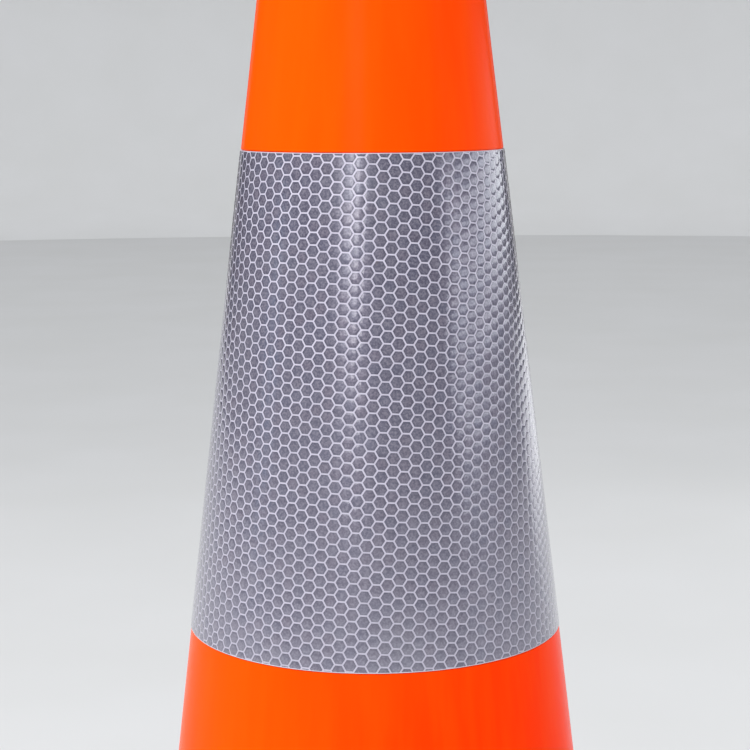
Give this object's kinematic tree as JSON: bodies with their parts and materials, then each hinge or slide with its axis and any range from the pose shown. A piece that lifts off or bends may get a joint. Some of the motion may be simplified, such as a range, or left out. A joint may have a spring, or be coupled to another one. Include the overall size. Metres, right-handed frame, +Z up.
{
  "type": "traffic cone",
  "caption": "Slim flexible traffic cone with a heavy square base, an open top and two hexagon-patterned reflective collars.",
  "frame": {"origin": "on the ground under the centre of the cone, level with the undersides of the feet", "axes": "+Z up along the cone's axis; the base's flats face +X, -X, +Y and -Y; -Y is the side seen from the front"},
  "size_m": [0.356, 0.356, 0.711],
  "materials": {
    "orange_pvc": "semi-gloss fluorescent orange",
    "black_recycled_pvc": "matt moulded recycled PVC",
    "prismatic_face_film": "glossy prismatic film with heat-sealed hexagons",
    "white_backing_film": "satin white film"
  },
  "bodies": {
    "root": {"cone_body": "orange_pvc", "weighted_base": "black_recycled_pvc", "upper_collar_backing": "white_backing_film", "upper_collar_face_film": "prismatic_face_film", "lower_collar_backing": "white_backing_film", "lower_collar_face_film": "prismatic_face_film"}
  },
  "joints": []
}
